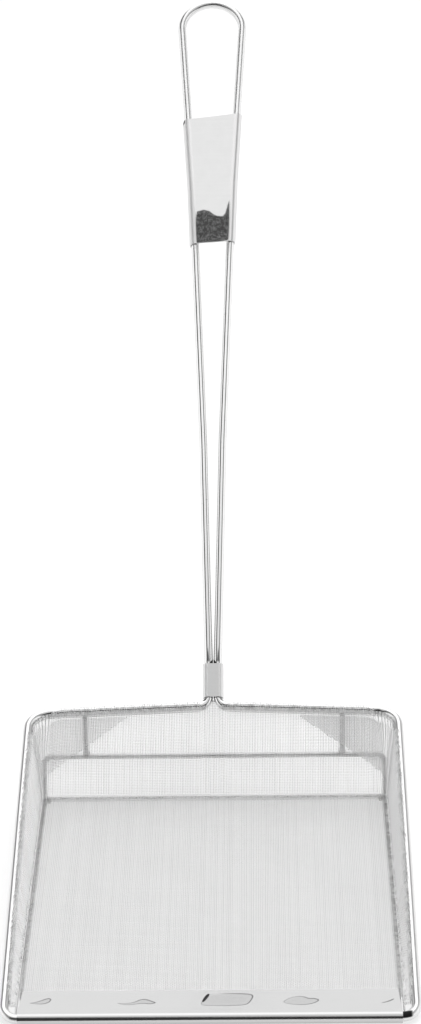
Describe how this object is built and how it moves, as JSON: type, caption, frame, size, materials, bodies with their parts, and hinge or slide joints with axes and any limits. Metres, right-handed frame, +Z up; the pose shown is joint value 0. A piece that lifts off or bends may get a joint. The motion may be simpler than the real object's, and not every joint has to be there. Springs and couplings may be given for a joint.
{
  "type": "skimmer scoop",
  "caption": "Square scoop-shaped wire mesh skimmer for a deep fryer, with a folded metal lip, a long double-wire handle, a sheet metal grip and a hanging loop.",
  "frame": {"origin": "on the surface it rests on, under the middle of the front rim wire", "axes": "+Y from the front lip towards the handle, +Z up, +X to the right seen from the lip"},
  "size_m": [0.205, 0.5742, 0.3365],
  "materials": {
    "plated_wire": "bright nickel-chrome plated steel wire",
    "plated_sheet": "bright nickel-chrome plated sheet steel",
    "lip_sheet": "satin plated sheet steel with spot-weld marks",
    "support_wire": "plated steel wire, duller than the rim",
    "woven_mesh": "fine plain-woven plated steel wire cloth",
    "weld_metal": "plated weld metal"
  },
  "bodies": {
    "root": {"rim_wire": "plated_wire", "handle_wire": "plated_wire", "ferrule": "plated_sheet", "grip_sleeve": "plated_sheet", "lip_plate": "lip_sheet", "cradle_wire": "support_wire", "cross_wire": "support_wire", "strut_left": "support_wire", "strut_right": "support_wire", "mesh_floor": "woven_mesh", "mesh_back": "woven_mesh", "mesh_corner_left": "woven_mesh", "mesh_corner_right": "woven_mesh", "mesh_side_left": "woven_mesh", "mesh_side_right": "woven_mesh", "mesh_wrap_left": "woven_mesh", "mesh_wrap_right": "woven_mesh", "mesh_flap_left": "woven_mesh", "mesh_flap_right": "woven_mesh", "strut_welds": "weld_metal", "cross_wire_welds": "weld_metal", "cradle_welds": "weld_metal"}
  },
  "joints": []
}
